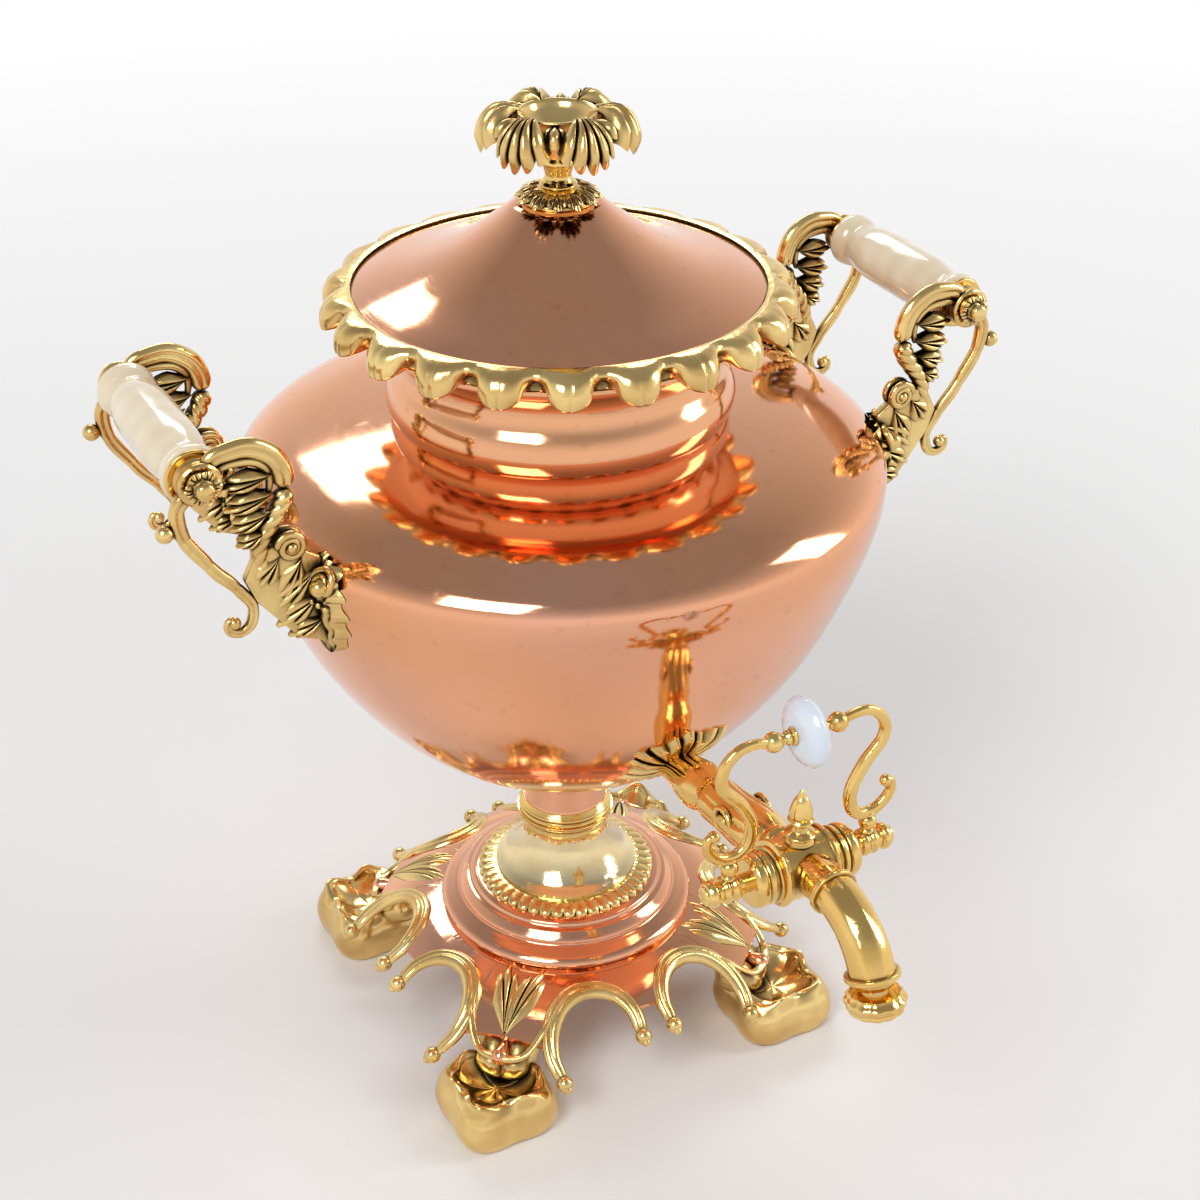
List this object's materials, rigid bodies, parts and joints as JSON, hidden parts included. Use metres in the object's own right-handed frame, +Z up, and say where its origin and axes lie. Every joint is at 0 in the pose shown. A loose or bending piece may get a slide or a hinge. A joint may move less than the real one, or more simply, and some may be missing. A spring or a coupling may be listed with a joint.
{
  "type": "samovar",
  "caption": "Footed copper tea urn with a lift-off lid, two loop handles with ceramic grips, and a scroll-keyed tap.",
  "frame": {"origin": "on the bowl's vertical axis, in the plane of the floor", "axes": "+Z up the bowl's axis, -Y towards the tap's spout, +X towards the right-hand handle seen from the tap"},
  "size_m": [0.3474, 0.3647, 0.4011],
  "materials": {
    "copper": "polished copper sheet",
    "cast_brass": "cast brass, dark in the hollows",
    "bright_brass": "polished yellow brass",
    "grip_ceramic": "glazed cream ceramic",
    "disc_ceramic": "glazed white ceramic",
    "steel": "turned steel",
    "tinned_copper": "tinned",
    "iron": "cast iron",
    "fibre": "fibre sealing washer"
  },
  "bodies": {
    "urn": {"base_plate": "copper", "bead_band": "cast_brass", "bell_foot": "bright_brass", "bowl": "copper", "bowl_boss": "tinned_copper", "foot_front_left": "cast_brass", "foot_front_right": "cast_brass", "foot_rear_left": "cast_brass", "foot_rear_right": "cast_brass", "handle_left_ferrules": "cast_brass", "handle_left_front_bracket": "cast_brass", "handle_left_grip": "grip_ceramic", "handle_left_nuts": "cast_brass", "handle_left_rear_bracket": "cast_brass", "handle_left_rod": "steel", "handle_pads": "tinned_copper", "handle_right_ferrules": "cast_brass", "handle_right_front_bracket": "cast_brass", "handle_right_grip": "grip_ceramic", "handle_right_nuts": "cast_brass", "handle_right_rear_bracket": "cast_brass", "handle_right_rod": "steel", "handle_rivets": "cast_brass", "heater_sleeve": "tinned_copper", "neck_collar": "copper", "pear_drops": "cast_brass", "rim_gallery": "cast_brass", "ring_moulding": "cast_brass", "scroll_borders": "cast_brass", "stem_knop": "copper", "stem_tube": "copper", "tap_acorn": "bright_brass", "tap_body": "bright_brass", "tap_escutcheon": "cast_brass", "tap_gland_left": "bright_brass", "tap_gland_right": "bright_brass", "tap_nozzle_ring": "bright_brass", "tap_nut": "bright_brass", "tap_saddle": "tinned_copper", "tap_washer": "fibre", "tie_nut": "steel", "tie_rod": "steel", "tie_washer": "steel"},
    "lid": {"finial_crown": "cast_brass", "finial_ferrule": "cast_brass", "finial_nut": "steel", "finial_rosette": "cast_brass", "finial_stud": "steel", "finial_washer": "steel", "lid_flange": "copper", "lid_shell": "copper"},
    "heater": {"heating_iron": "iron", "sleeve_cap": "tinned_copper"},
    "tap_key": {"key_arm_left": "bright_brass", "key_arm_right": "bright_brass", "key_bar": "bright_brass", "key_disc": "disc_ceramic", "key_knobs": "bright_brass", "tap_plug": "bright_brass"}
  },
  "joints": [
    {"name": "lid_lift", "type": "slide", "parent": "urn", "child": "lid", "axis": [0, 0, 1], "range_m": [0, 0.32]},
    {"name": "iron_lift", "type": "slide", "parent": "urn", "child": "heater", "axis": [0, 0, 1], "range_m": [0, 0.208]},
    {"name": "key_turn", "type": "hinge", "parent": "urn", "child": "tap_key", "pos_m": [0, -0.178, 0.1845], "axis": [1, 0, 0], "range_deg": [0, 60]}
  ],
  "couplings": [
    {"joint": "iron_lift", "follows": "lid_lift", "ratio": 0.65}
  ]
}
